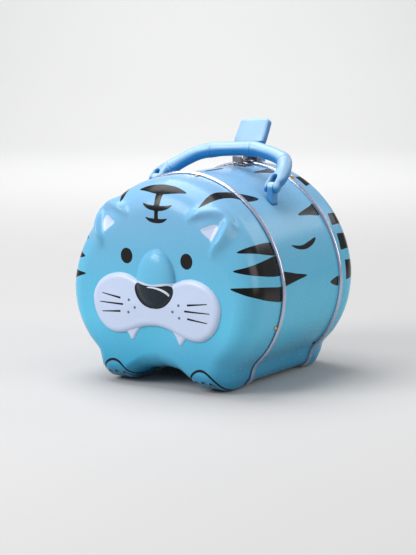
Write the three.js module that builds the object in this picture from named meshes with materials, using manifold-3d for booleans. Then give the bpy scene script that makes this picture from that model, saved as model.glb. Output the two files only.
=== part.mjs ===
// A printed-tin money box shaped like a tiger cub: a drawn front cap with the face, a rolled band with the
// coin slot, a rear cap that pulls off as a lid behind a hasp, a swinging handle and a fixed tail.
// Millimetres. +X is the animal's left side, +Y runs from the nose to the back, +Z is up, soles on Z = 0.
import * as THREE from "three";
import { mergeVertices } from "three/addons/utils/BufferGeometryUtils.js";
import Module from "manifold-3d";

const wasm = await Module();
wasm.setup();

// ---- Driving dimensions ----
const SHEET = 0.9; // tinplate with its rolled hem
const GAP = 0.3; // between pieces that touch
const STEPS = 36; // straight stretches in half of the cross-section

const HALF_WIDTH = 92.3;
const CROWN_Z = 173.5;
const WAIST_Z = 80; // height of the widest place
const CROWN_POWER = 1.9; // exponent of the crown's superellipse
const FLANK_REACH = 86; // lower half-height of the flank's ellipse
const FLANK_END = THREE.MathUtils.degToRad(45);
const BELLY_Z = 14.5;
const BEAD_PROUD = 2.6;
const BEAD_RADIUS = 1.75;
const SOLE_SNAP = 0.3; // the section lies flat on the sole within this height

const FRONT_SEAM = -37;
const REAR_SEAM = 55;
const CAP_EDGE = BEAD_RADIUS + GAP; // from a seam to the edge of its cap
const FACE_DEPTH = 47.5;
const BACK_DEPTH = 38;
const NOSE_HEIGHT = 8.5;
const MUZZLE_HEIGHT = 4;
const COLLAR_SHEET = 0.8;
const COLLAR_FRONT = [FRONT_SEAM - 12, FRONT_SEAM + 12];
const COLLAR_REAR = [REAR_SEAM - 9, REAR_SEAM + 11.5];

const SLOT_WIDTH = 4.8;
const SLOT_ENDS = [-13.5, 16.5];

const PIVOT_X = 58.5;
const PIVOT_Z = 162;
const HANDLE_LEAN = THREE.MathUtils.degToRad(45.6);
const HANDLE_RADIUS = 6;
const LEG_WIDTH = 13.6;
const LEG_TOPS = { right: 22, left: 11 }; // the grip comes down lower on the left side
const PRONG_RADIUS = 4.6;
const FORK_WIDTH = 6.6;
const FORK_TOPS = { right: 11, left: 7.5 };
const LUG_RADIUS = 4.8;
const PIN_RADIUS = 1.6;

const HINGE_Y = 59.4;
const HINGE_Z = 179.4;
const HINGE_PIN_RADIUS = 1;
const KNUCKLE_RADIUS = 2.3;
const TONGUE_Z = 176.5; // underside, just over the bead
const TONGUE_SHEET = 1.2;
const TONGUE_HALF = 4.2;
const TAB_Y = 36;
const TAB_TOP = 181.6;
const PLATE_SHEET = 1;
const PLATE_Z = CROWN_Z + GAP;
const CATCH_PLATE = { half: 7.7, from: 36.4, to: 49 };
const STAPLE = { half: 2, from: 41, to: 44, top: 179 };
const HINGE_PLATE = { half: 7.4, from: 57.4, to: 65.4 };
const HINGE_EAR = 2.6;
const HINGE_EAR_X = 5.9; // middle of an ear

const TAIL_FOOT_Y = 71.4;
const TAIL_LEAN = 31; // degrees
const TAIL_ROLL = 4.3;
const RIVET_SHANK = 1;
const RIVET_FLANGE = 1.7; // radius of the flat inner head
const WASHER_SHEET = 0.8;

// ---- Finishes ----
const finish = (color, roughness, metalness) =>
  new THREE.MeshStandardMaterial({ color, roughness, metalness });
const printedTin = () => finish(0x86c2e4, 0.25, 0.3);
const bareTin = () => finish(0xb7bcc6, 0.35, 0.9);
const bluePlastic = () => finish(0xa9d6f2, 0.45, 0);
const brightSteel = () => finish(0xc9cacf, 0.22, 1);
const brass = () => finish(0xcaa15a, 0.3, 1);

// ---- Solids ----
const MERGE_DISTANCE = 1e-4;

// The geometry as a manifold solid, with only its positions kept.
function solidOf(geometry) {
  const bare = new THREE.BufferGeometry();
  bare.setAttribute("position", geometry.getAttribute("position"));
  bare.setIndex(geometry.index);
  const merged = mergeVertices(bare, MERGE_DISTANCE);
  return new wasm.Manifold(
    new wasm.Mesh({
      numProp: 3,
      vertProperties: merged.attributes.position.array,
      triVerts: new Uint32Array(merged.index.array),
    }),
  );
}

function geometryOf(solid) {
  const mesh = solid.getMesh();
  const geometry = new THREE.BufferGeometry();
  geometry.setAttribute("position", new THREE.BufferAttribute(mesh.vertProperties, 3));
  geometry.setIndex(new THREE.BufferAttribute(mesh.triVerts, 1));
  geometry.computeVertexNormals();
  return geometry;
}

const cut = (base, tools) =>
  geometryOf(tools.reduce((solid, tool) => solid.subtract(solidOf(tool)), solidOf(base)));
const join = (base, others) =>
  geometryOf(others.reduce((solid, other) => solid.add(solidOf(other)), solidOf(base)));

// Skin over rings of points with equal counts. A closed skin returns to its first ring; an open one
// ends in a point at each end. Its faces are turned outwards by the sign of its volume.
function skin(rings, poles) {
  const count = rings[0].length;
  const points = rings.flat();
  const triangles = [];
  const bands = poles ? rings.length - 1 : rings.length;
  for (let r = 0; r < bands; r++) {
    const here = r * count;
    const next = ((r + 1) % rings.length) * count;
    for (let s = 0; s < count; s++) {
      const t = (s + 1) % count;
      triangles.push([here + s, here + t, next + t], [here + s, next + t, next + s]);
    }
  }
  if (poles) {
    const last = (rings.length - 1) * count;
    for (let s = 0; s < count; s++) {
      const t = (s + 1) % count;
      triangles.push([points.length, t, s], [points.length + 1, last + s, last + t]);
    }
    points.push(...poles);
  }
  const volume = triangles.reduce(
    (sum, [a, b, c]) => sum + points[a].dot(points[b].clone().cross(points[c])),
    0,
  );
  if (volume < 0) triangles.forEach((triangle) => triangle.reverse());
  const geometry = new THREE.BufferGeometry().setFromPoints(points);
  geometry.setIndex(triangles.flat());
  geometry.computeVertexNormals();
  return geometry;
}

// A box between two corners.
function block(low, high) {
  const size = high.map((value, axis) => value - low[axis]);
  const centre = high.map((value, axis) => (value + low[axis]) / 2);
  return new THREE.BoxGeometry(...size).translate(...centre);
}

// A rod along the local Z axis, from one height to another.
const rod = (radius, bottom, top, sides = 12) =>
  new THREE.CylinderGeometry(radius, radius, top - bottom, sides)
    .rotateX(Math.PI / 2)
    .translate(0, 0, (bottom + top) / 2);

// A profile of [radius, height] pairs turned about the local Z axis.
const turned = (profile, sides = 12) =>
  new THREE.LatheGeometry(
    profile.map(([radius, height]) => new THREE.Vector2(radius, height)),
    sides,
  ).rotateX(Math.PI / 2);

// ---- Cross-section of the body ----
// Half from the crown down to the middle of the belly: a superellipse over the waist, an ellipse down
// the flank, the rounded outer corner of the foot, its flat sole and the arch of the belly.
function halfSection() {
  const points = [];
  const crownStops = 9;
  for (let i = 0; i <= crownStops; i++) {
    const angle = (Math.PI / 2) * (i / crownStops);
    const x = HALF_WIDTH * Math.sin(angle) ** (2 / CROWN_POWER);
    const rise = (CROWN_Z - WAIST_Z) * Math.cos(angle) ** (2 / CROWN_POWER);
    points.push(new THREE.Vector2(x, WAIST_Z + rise));
  }
  const flankStops = 4;
  for (let i = 1; i <= flankStops; i++) {
    const angle = FLANK_END * (i / flankStops);
    points.push(
      new THREE.Vector2(HALF_WIDTH * Math.cos(angle), WAIST_Z - FLANK_REACH * Math.sin(angle)),
    );
  }
  const foot = [
    [61.2, 8.5],
    [57.4, 3.8],
    [53, BEAD_PROUD],
    [39, BEAD_PROUD],
    [32, 5.4],
    [19, 11.5],
    [0, BELLY_Z],
  ];
  points.push(...foot.map(([x, z]) => new THREE.Vector2(x, z)));
  return new THREE.SplineCurve(points)
    .getSpacedPoints(STEPS)
    .map(({ x, y }) => new THREE.Vector2(x, y < BEAD_PROUD + SOLE_SNAP ? BEAD_PROUD : y));
}

const right = halfSection();
const section = [
  ...right,
  ...right
    .slice(1, -1)
    .reverse()
    .map((point) => new THREE.Vector2(-point.x, point.y)),
];
const outward = section.map((point, s) => {
  const before = section[(s + section.length - 1) % section.length];
  const after = section[(s + 1) % section.length];
  return new THREE.Vector2(before.y - after.y, after.x - before.x).normalize();
});

// One ring of the cross-section, moved out by an offset, at a place along Y.
const ringAt = (offset, y) =>
  section.map(
    (point, s) =>
      new THREE.Vector3(point.x + offset * outward[s].x, y, point.y + offset * outward[s].y),
  );

// Place on the wall at an angle from the crown, with the turn about Y that stands a piece on it.
function wallSpot(degrees) {
  const angle = THREE.MathUtils.degToRad(degrees);
  const ray = new THREE.Vector2(Math.sin(angle), Math.cos(angle));
  for (let s = 0; s < section.length; s++) {
    const from = section[s];
    const edge = section[(s + 1) % section.length].clone().sub(from);
    const start = new THREE.Vector2(from.x, from.y - WAIST_Z);
    const along = -start.cross(ray) / edge.cross(ray);
    const hit = start.clone().addScaledVector(edge, along);
    if (along >= 0 && along < 1 && hit.dot(ray) > 0)
      return { x: hit.x, z: hit.y + WAIST_Z, turn: Math.atan2(-edge.y, edge.x) };
  }
  throw new Error("no wall at that angle");
}

// A tool or piece made about the local Z axis, moved to a place on the wall.
const onWall = (geometry, degrees, y) => {
  const spot = wallSpot(degrees);
  return geometry.rotateY(spot.turn).translate(spot.x, y, spot.z);
};

// ---- Rivets, screws and washers ----
// Rivet made about Z with the wall's outer face on Z = 0: a domed head, a shank and a flat inner head.
const rivetShape = (headRadius, headHeight, bottom) =>
  turned([
    [0, bottom - 1],
    [RIVET_FLANGE, bottom - 1],
    [RIVET_FLANGE, bottom],
    [RIVET_SHANK, bottom],
    [RIVET_SHANK, GAP],
    [headRadius, GAP],
    [headRadius * 0.93, GAP + headHeight * 0.5],
    [headRadius * 0.6, GAP + headHeight * 0.88],
    [0, GAP + headHeight],
  ]);
const rivetHole = () => rod(RIVET_SHANK + GAP, -8, 4);
const THROUGH_WALL = -SHEET - GAP;
const THROUGH_COLLAR = -SHEET - COLLAR_SHEET - 2 * GAP;

const screwShape = (shank, top, headTop, headRadius) =>
  turned([
    [0, headTop - 2],
    [headRadius, headTop - 2],
    [headRadius, headTop],
    [shank, headTop],
    [shank, top],
    [0, top],
  ]);
const washerShape = (inner, outer, top) =>
  turned([
    [inner, top - WASHER_SHEET],
    [outer, top - WASHER_SHEET],
    [outer, top],
    [inner, top],
    [inner, top - WASHER_SHEET],
  ]);

const FRONT_RIVETS = { top: 6.5, right: 107, left: -107 };
const FRONT_RIVET_Y = FRONT_SEAM - 4.4;
const REAR_RIVETS = { right: 26, left: -26, belly: 174 };
const REAR_RIVET_Y = REAR_SEAM + 5;
const STUDS = { right: 129, left: -129 };
const STUD_Y = REAR_SEAM - 3.6;
const SIDES = { right: 1, left: -1 };
const LUG_SCREW_ANGLE = 39;
const LUG_SCREW_RADIUS = 1.2;
const LUG_SCREW_HEAD = 2.6;
const LUG_WASHER_RADIUS = 4;
const SCREW_TOP = 3.4; // how far a screw reaches above the wall's outer face
const TAIL_SCREW_RADIUS = 1.5;
const TAIL_SCREW_HEAD = 3;
const TAIL_WASHER_RADIUS = 3.6;
const CATCH_RIVET_X = 5.7;
const CATCH_RIVET_Y = 42.5;
const BASE_RIVET_X = 4.5;
const BASE_RIVET_Y = 63.2;

const uprightHole = (x, y) => rivetHole().translate(x, y, CROWN_Z);

// ---- Band with its two rolled beads and the coin slot ----
function bodyBand() {
  const bead = (y, way) => {
    const corner = BEAD_RADIUS / Math.cos(Math.PI / 8);
    const stops = [];
    for (let i = 0; i < 7; i++) {
      const angle = way * Math.PI * (-0.625 + 0.25 * i);
      stops.push([
        BEAD_PROUD - BEAD_RADIUS + corner * Math.cos(angle),
        y + corner * Math.sin(angle),
      ]);
    }
    return stops;
  };
  const profile = [
    [0, REAR_SEAM - BEAD_RADIUS - 0.2],
    ...bead(REAR_SEAM, 1),
    ...bead(FRONT_SEAM, -1).reverse(),
    [0, FRONT_SEAM + BEAD_RADIUS + 0.2],
  ];
  const tube = skin(profile.map(([offset, y]) => ringAt(offset, y)));
  const tools = [
    block([-SLOT_WIDTH / 2, SLOT_ENDS[0], CROWN_Z - 8], [SLOT_WIDTH / 2, SLOT_ENDS[1], CROWN_Z + 8]),
    uprightHole(CATCH_RIVET_X, CATCH_RIVET_Y),
    uprightHole(-CATCH_RIVET_X, CATCH_RIVET_Y),
    ...Object.values(STUDS).map((degrees) => onWall(rivetHole(), degrees, STUD_Y)),
    ...Object.values(SIDES).map((side) =>
      onWall(rod(LUG_SCREW_RADIUS + GAP, -4, 4), side * LUG_SCREW_ANGLE, 0),
    ),
  ];
  return cut(tube, tools);
}

// ---- Caps ----
const smooth = (low, high, value) => {
  const t = THREE.MathUtils.clamp((value - low) / (high - low), 0, 1);
  return t * t * (3 - 2 * t);
};

// Relief of the face over its flat plane: two muzzle lobes and the nose with its bridge.
function faceRelief(x, z) {
  const lobe = 1 - ((Math.abs(x) - 31) / 31) ** 2 - ((z - 73) / 24) ** 2;
  const nose = 1 - (x / 20) ** 2 - ((z - 90) / 27) ** 2;
  const muzzle = MUZZLE_HEIGHT * smooth(0, 0.5, lobe);
  return Math.max(muzzle, NOSE_HEIGHT * Math.sqrt(Math.max(nose, 0)));
}

const flat = () => 0;

// Rows of a cap's wall: the part of the way from its edge to the shoulder, and how much of the sole's
// drop it takes.
const WALL_ROWS = [
  [0, 0],
  [0.3, 1],
  [1, 1],
];

// A drawn cap: a wall straight to a depth that varies round it, a quarter-round shoulder and a plane.
// way is -1 for the front cap and 1 for the rear one.
function cap({ seam, way, depth, wallDepth, shoulder, relief }) {
  const centre = new THREE.Vector2(0, WAIST_Z + 6);
  const spots = section.map((point, s) => {
    const inwards = centre.clone().sub(point).normalize();
    const up = smooth(-0.2, 0.9, outward[s].y);
    const down = smooth(-0.3, -0.95, outward[s].y);
    const sole = smooth(7.5, 3.6, point.y);
    return { point, normal: outward[s], inwards, up, down, sole };
  });
  const place = (spot, offset, inset, reach, drop = 0) => {
    const x = spot.point.x + offset * spot.normal.x + inset * spot.inwards.x;
    const z = spot.point.y + offset * spot.normal.y + inset * spot.inwards.y - drop * spot.sole;
    return new THREE.Vector3(x, seam + way * reach, z);
  };
  // Wall, shoulder and plane rows of one face, at an offset from the outer face.
  const rows = (offset, arcs, planes) => {
    const rings = WALL_ROWS.map(([part, pad]) =>
      spots.map((spot) => {
        const reach = THREE.MathUtils.lerp(CAP_EDGE, wallDepth(spot), part);
        return place(spot, offset, 0, reach, pad * BEAD_PROUD);
      }),
    );
    for (let i = 1; i <= arcs; i++) {
      const angle = (Math.PI / 2) * (i / arcs);
      rings.push(
        spots.map((spot) => {
          const reach = wallDepth(spot);
          const bulge = (depth + offset - reach) * Math.sin(angle);
          const inset = (shoulder(spot.up) + offset) * (1 - Math.cos(angle));
          return place(spot, offset, inset, reach + bulge, BEAD_PROUD * Math.cos(angle) ** 2);
        }),
      );
    }
    const rim = rings[rings.length - 1];
    for (const share of planes)
      rings.push(
        rim.map((point) => {
          const x = point.x * share;
          const z = THREE.MathUtils.lerp(centre.y, point.z, share);
          return new THREE.Vector3(x, seam + way * (depth + offset + relief(x, z)), z);
        }),
      );
    return rings;
  };
  const outer = rows(0, 5, [0.85, 0.7, 0.55, 0.4, 0.26, 0.12]);
  const inner = rows(-SHEET, 4, [0.8, 0.55, 0.3]);
  const pole = (offset) =>
    new THREE.Vector3(0, seam + way * (depth + offset + relief(0, centre.y)), centre.y);
  return skin([...outer.reverse(), ...inner], [pole(0), pole(-SHEET)]);
}

const frontCap = () =>
  cut(
    cap({
      seam: FRONT_SEAM,
      way: -1,
      depth: FACE_DEPTH,
      wallDepth: ({ up, down }) => 28 - 10 * up - 12 * down,
      shoulder: (up) => THREE.MathUtils.lerp(16.5, 28.5, up),
      relief: faceRelief,
    }),
    Object.values(FRONT_RIVETS).map((degrees) => onWall(rivetHole(), degrees, FRONT_RIVET_Y)),
  );

const rearCap = () =>
  cut(
    cap({
      seam: REAR_SEAM,
      way: 1,
      depth: BACK_DEPTH,
      wallDepth: ({ up }) => THREE.MathUtils.lerp(12, 18, up),
      shoulder: () => 24,
      relief: flat,
    }),
    [
      ...Object.values(REAR_RIVETS).map((degrees) => onWall(rivetHole(), degrees, REAR_RIVET_Y)),
      uprightHole(BASE_RIVET_X, BASE_RIVET_Y),
      uprightHole(-BASE_RIVET_X, BASE_RIVET_Y),
      rod(TAIL_SCREW_RADIUS + GAP, -6, 6).translate(0, TAIL_FOOT_Y, CROWN_Z),
    ],
  );

// A liner inside a seam: half in the cap, half in the band.
function collar([from, to], holes) {
  const outer = -SHEET - GAP;
  const inner = outer - COLLAR_SHEET;
  const ring = skin([ringAt(outer, from), ringAt(outer, to), ringAt(inner, to), ringAt(inner, from)]);
  return cut(ring, holes);
}

const frontCollar = () =>
  collar(
    COLLAR_FRONT,
    Object.values(FRONT_RIVETS).map((degrees) => onWall(rivetHole(), degrees, FRONT_RIVET_Y)),
  );
const rearCollar = () =>
  collar(COLLAR_REAR, [
    ...Object.values(REAR_RIVETS).map((degrees) => onWall(rivetHole(), degrees, REAR_RIVET_Y)),
    uprightHole(BASE_RIVET_X, BASE_RIVET_Y),
    uprightHole(-BASE_RIVET_X, BASE_RIVET_Y),
  ]);

// ---- Handle and its lugs ----
// Outline in the YZ plane of a plate with a round end, extruded to a thickness along X.
function archPlate(points, thickness) {
  const shape = new THREE.Shape(points.map(([y, z]) => new THREE.Vector2(y, z)));
  return new THREE.ExtrudeGeometry(shape, { depth: thickness, bevelEnabled: false })
    .translate(0, 0, -thickness / 2)
    .applyMatrix4(
      new THREE.Matrix4().makeBasis(
        new THREE.Vector3(0, 1, 0),
        new THREE.Vector3(0, 0, 1),
        new THREE.Vector3(1, 0, 0),
      ),
    );
}

// Points of an arc about the origin, from one angle to another, in degrees from +Y towards +Z.
const arc = (radius, from, to, stops = 8) =>
  Array.from({ length: stops + 1 }, (unused, i) => {
    const angle = THREE.MathUtils.degToRad(from + ((to - from) * i) / stops);
    return [radius * Math.cos(angle), radius * Math.sin(angle)];
  });

const crossPin = (radius, length) =>
  new THREE.CylinderGeometry(radius, radius, length, 12).rotateZ(Math.PI / 2);

// A lug stands on the band: a round-topped tongue, its foot cut to the wall, with the pin's hole.
function handleLug(side) {
  const down = PIVOT_Z - CROWN_Z - 20;
  const tongue = archPlate(
    [...arc(LUG_RADIUS, 0, 180), [-LUG_RADIUS, down], [LUG_RADIUS, down]],
    FORK_WIDTH - 2 * GAP,
  ).translate(side * PIVOT_X, 0, PIVOT_Z);
  const wall = skin(
    [ringAt(GAP, -LUG_RADIUS * 2), ringAt(GAP, LUG_RADIUS * 2)],
    [-1, 1].map((end) => new THREE.Vector3(0, end * LUG_RADIUS * 2, WAIST_Z)),
  );
  return cut(tongue, [
    wall,
    crossPin(PIN_RADIUS + GAP, 20).translate(side * PIVOT_X, 0, PIVOT_Z),
    onWall(rod(LUG_SCREW_RADIUS + GAP, -4, SCREW_TOP + GAP), side * LUG_SCREW_ANGLE, 0),
  ]);
}

// The handle in its own frame: pivots on the X axis, grip above them along +Z. The grip stands higher
// on the right, where it turns down into a long leg, and slopes down to a short leg on the left.
function carryHandle() {
  const route = [
    [PIVOT_X, 8],
    [62, 13],
    [61, 21],
    [56.5, 29.5],
    [47, 34],
    [35, 37.4],
    [22, 39.7],
    [2, 38.5],
    [-17, 36],
    [-30.5, 31.2],
    [-41, 23],
    [-50, 13.6],
    [-55, 7.5],
  ];
  const stops = route.map(([x, rise]) => new THREE.Vector3(x, 0, rise));
  const round = new THREE.Shape(
    arc(HANDLE_RADIUS, 0, 360, 12)
      .slice(0, -1)
      .map(([x, y]) => new THREE.Vector2(x, y)),
  );
  const grip = new THREE.ExtrudeGeometry(round, {
    steps: 30,
    extrudePath: new THREE.CatmullRomCurve3(stops, false, "centripetal"),
  });
  const parts = Object.entries(SIDES).map(([name, side]) =>
    archPlate(
      [
        ...arc(PRONG_RADIUS, 180, 360),
        [HANDLE_RADIUS - 0.2, FORK_TOPS[name]],
        [HANDLE_RADIUS - 0.4, LEG_TOPS[name]],
        [0.4 - HANDLE_RADIUS, LEG_TOPS[name]],
        [0.2 - HANDLE_RADIUS, FORK_TOPS[name]],
      ],
      LEG_WIDTH,
    ).translate(side * PIVOT_X, 0, 0),
  );
  const tools = Object.entries(SIDES).flatMap(([name, side]) => [
    block(
      [side * PIVOT_X - FORK_WIDTH / 2, -10, -10],
      [side * PIVOT_X + FORK_WIDTH / 2, 10, FORK_TOPS[name]],
    ),
    crossPin(PIN_RADIUS + GAP, 20).translate(side * PIVOT_X, 0, 0),
  ]);
  return geometryOf(
    tools.reduce((solid, tool) => solid.subtract(solidOf(tool)), solidOf(join(grip, parts))),
  );
}

// ---- Hasp ----
// Catch plate on the band with the staple that the tongue drops over.
function catchPlate() {
  const plate = block(
    [-CATCH_PLATE.half, CATCH_PLATE.from, PLATE_Z],
    [CATCH_PLATE.half, CATCH_PLATE.to, PLATE_Z + PLATE_SHEET],
  );
  const staple = block(
    [-STAPLE.half, STAPLE.from, PLATE_Z + 0.5],
    [STAPLE.half, STAPLE.to, STAPLE.top],
  );
  return cut(join(plate, [staple]), [
    uprightHole(CATCH_RIVET_X, CATCH_RIVET_Y),
    uprightHole(-CATCH_RIVET_X, CATCH_RIVET_Y),
  ]);
}

// Outline of the tongue, from the strip's root under the knuckle round to its top.
function tongueOutline() {
  const top = TONGUE_Z + TONGUE_SHEET;
  const knuckle = arc(KNUCKLE_RADIUS, -110, 160, 12).map(([y, z]) => [HINGE_Y + y, HINGE_Z + z]);
  return [
    ...knuckle,
    [48.2, top],
    [TAB_Y + 2, top],
    [TAB_Y + 1.8, TAB_TOP],
    [TAB_Y - 0.2, TAB_TOP],
    [TAB_Y, TONGUE_Z],
    [48.6, TONGUE_Z],
  ];
}

// The tongue: a knuckle on the hinge pin, a strip over the bead and a turned-up finger tab, slotted
// for the staple.
const latchTongue = () =>
  cut(archPlate(tongueOutline(), 2 * TONGUE_HALF), [
    block(
      [-STAPLE.half - 0.5, STAPLE.from - 0.8, TONGUE_Z - 3],
      [STAPLE.half + 0.5, STAPLE.to + 0.8, TONGUE_Z + 3],
    ),
    crossPin(HINGE_PIN_RADIUS + GAP, 20).translate(0, HINGE_Y, HINGE_Z),
  ]);

// Base on the lid with an ear on each side of the tongue's knuckle.
function hingeBase() {
  const plate = block(
    [-HINGE_PLATE.half, HINGE_PLATE.from, PLATE_Z],
    [HINGE_PLATE.half, HINGE_PLATE.to, PLATE_Z + PLATE_SHEET],
  );
  const down = PLATE_Z + 0.2 - HINGE_Z;
  const ears = [-1, 1].map((side) =>
    archPlate(
      [...arc(KNUCKLE_RADIUS - 0.1, 0, 180), [0.2 - KNUCKLE_RADIUS, down], [KNUCKLE_RADIUS, down]],
      HINGE_EAR,
    ).translate(side * HINGE_EAR_X, HINGE_Y, HINGE_Z),
  );
  return geometryOf(
    [
      crossPin(HINGE_PIN_RADIUS + GAP, 20).translate(0, HINGE_Y, HINGE_Z),
      uprightHole(BASE_RIVET_X, BASE_RIVET_Y),
      uprightHole(-BASE_RIVET_X, BASE_RIVET_Y),
    ].reduce((solid, tool) => solid.subtract(solidOf(tool)), solidOf(join(plate, ears))),
  );
}

// ---- Tail ----
// A moulded tail: a round foot, a neck that bends forward and a broad slab that leans back and is
// turned a little about Y, so that its right side stands higher.
function tailPiece() {
  const stations = [
    { y: 72, z: 174.1, tilt: 0, wide: 5.8, thick: 5.8 },
    { y: 72, z: 176, tilt: 0, wide: 5.4, thick: 5.2 },
    { y: 70.5, z: 180.5, tilt: -35, wide: 5.4, thick: 4.6 },
    { y: 65, z: 186, tilt: -30, wide: 8, thick: 4.2 },
    { y: 57.6, z: 190.2, tilt: 10, wide: 13.6, thick: 3.8 },
    { y: 58.5, z: 194, tilt: TAIL_LEAN, wide: 14.5, thick: 4 },
    { y: 63.7, z: 202.4, tilt: TAIL_LEAN, wide: 14, thick: 4.3 },
    { y: 67.8, z: 209, tilt: TAIL_LEAN, wide: 13.6, thick: 4.5 },
    { y: 68.9, z: 210.8, tilt: TAIL_LEAN, wide: 12.2, thick: 3.6 },
  ];
  const sides = 20;
  const rings = stations.map(({ y, z, tilt, wide, thick }) => {
    const lean = THREE.MathUtils.degToRad(tilt);
    const roll = THREE.MathUtils.degToRad(TAIL_ROLL * smooth(180, 192, z));
    const square = wide > 7 ? 0.45 : 1; // exponent of the section: 1 is round
    return Array.from({ length: sides }, (unused, i) => {
      const angle = (2 * Math.PI * i) / sides;
      const across = wide * Math.sign(Math.cos(angle)) * Math.abs(Math.cos(angle)) ** square;
      const back = thick * Math.sign(Math.sin(angle)) * Math.abs(Math.sin(angle)) ** square;
      return new THREE.Vector3(
        across * Math.cos(roll),
        y + back * Math.cos(lean),
        z - back * Math.sin(lean) + across * Math.sin(roll),
      );
    });
  });
  const ends = [stations[0], stations[stations.length - 1]].map(
    ({ y, z }) => new THREE.Vector3(0, y, z),
  );
  return cut(skin(rings, ends), [
    rod(TAIL_SCREW_RADIUS + GAP, -6, 4).translate(0, TAIL_FOOT_Y, CROWN_Z),
  ]);
}

// ---- Assembly ----
function piece(parent, name, geometry, material) {
  const mesh = new THREE.Mesh(geometry, material);
  mesh.name = name;
  parent.add(mesh);
  return mesh;
}

function standOnWall(mesh, degrees, y) {
  const spot = wallSpot(degrees);
  mesh.position.set(spot.x, y, spot.z);
  mesh.rotation.y = spot.turn;
}

const bank = new THREE.Group();
const body = new THREE.Group();
const lid = new THREE.Group();
const handle = new THREE.Group();
bank.add(body, lid, handle);

piece(body, "body_band", bodyBand(), printedTin());
piece(body, "front_cap", frontCap(), printedTin());
piece(body, "front_collar", frontCollar(), bareTin());
for (const [side, degrees] of Object.entries(FRONT_RIVETS))
  standOnWall(
    piece(body, "front_rivet_" + side, rivetShape(1.8, 1.3, THROUGH_COLLAR), brass()),
    degrees,
    FRONT_RIVET_Y,
  );
for (const [side, degrees] of Object.entries(STUDS)) {
  const stud = turned([
    [0, -SHEET],
    [RIVET_SHANK, -SHEET],
    [RIVET_SHANK, GAP],
    [1.5, GAP],
    [1.3, GAP + 0.8],
    [0, GAP + 1.2],
  ]);
  standOnWall(piece(body, "band_stud_" + side, stud, brightSteel()), degrees, STUD_Y);
}
for (const [side, sign] of Object.entries(SIDES)) {
  piece(body, "handle_lug_" + side, handleLug(sign), bluePlastic());
  const washerTop = -SHEET - GAP;
  const headTop = washerTop - WASHER_SHEET - GAP;
  standOnWall(
    piece(
      body,
      "lug_screw_" + side,
      screwShape(LUG_SCREW_RADIUS, SCREW_TOP, headTop, LUG_SCREW_HEAD),
      brightSteel(),
    ),
    sign * LUG_SCREW_ANGLE,
    0,
  );
  standOnWall(
    piece(
      body,
      "lug_washer_" + side,
      washerShape(LUG_SCREW_RADIUS + GAP, LUG_WASHER_RADIUS, washerTop),
      brightSteel(),
    ),
    sign * LUG_SCREW_ANGLE,
    0,
  );
}
piece(body, "catch_plate", catchPlate(), brightSteel());
for (const [side, sign] of Object.entries(SIDES))
  piece(
    body,
    "catch_rivet_" + side,
    rivetShape(1.7, 0.9, THROUGH_WALL - 2 * GAP - PLATE_SHEET),
    brightSteel(),
  ).position.set(sign * CATCH_RIVET_X, CATCH_RIVET_Y, PLATE_Z + PLATE_SHEET);

handle.position.z = PIVOT_Z;
handle.rotation.x = -HANDLE_LEAN;
piece(handle, "carry_handle", carryHandle(), bluePlastic());
for (const [side, sign] of Object.entries(SIDES))
  piece(
    handle,
    "handle_pin_" + side,
    crossPin(PIN_RADIUS, LEG_WIDTH - 0.6).translate(sign * PIVOT_X, 0, 0),
    brightSteel(),
  );

piece(lid, "rear_cap", rearCap(), printedTin());
piece(lid, "rear_collar", rearCollar(), bareTin());
for (const [side, degrees] of Object.entries(REAR_RIVETS))
  standOnWall(
    piece(lid, "rear_rivet_" + side, rivetShape(2.1, 3.2, THROUGH_COLLAR), brass()),
    degrees,
    REAR_RIVET_Y,
  );
piece(lid, "hinge_base", hingeBase(), brightSteel());
for (const [side, sign] of Object.entries(SIDES))
  piece(
    lid,
    "hinge_rivet_" + side,
    rivetShape(1.5, 0.8, THROUGH_COLLAR - 2 * GAP - PLATE_SHEET),
    brightSteel(),
  ).position.set(sign * BASE_RIVET_X, BASE_RIVET_Y, PLATE_Z + PLATE_SHEET);
piece(
  lid,
  "hinge_pin",
  crossPin(HINGE_PIN_RADIUS, 15).translate(0, HINGE_Y, HINGE_Z),
  brightSteel(),
);
piece(lid, "tail", tailPiece(), bluePlastic());
const tailWasherTop = -SHEET - 2 * GAP;
piece(
  lid,
  "tail_screw",
  screwShape(TAIL_SCREW_RADIUS, SCREW_TOP, tailWasherTop - WASHER_SHEET - GAP, TAIL_SCREW_HEAD),
  brightSteel(),
).position.set(0, TAIL_FOOT_Y, CROWN_Z);
piece(
  lid,
  "tail_washer",
  washerShape(TAIL_SCREW_RADIUS + GAP, TAIL_WASHER_RADIUS, tailWasherTop),
  brightSteel(),
).position.set(0, TAIL_FOOT_Y, CROWN_Z);

piece(lid, "latch_tongue", latchTongue(), brightSteel());

export default bank;
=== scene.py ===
"""A printed-tin money box shaped like a tiger cub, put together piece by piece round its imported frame."""

import math

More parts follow.
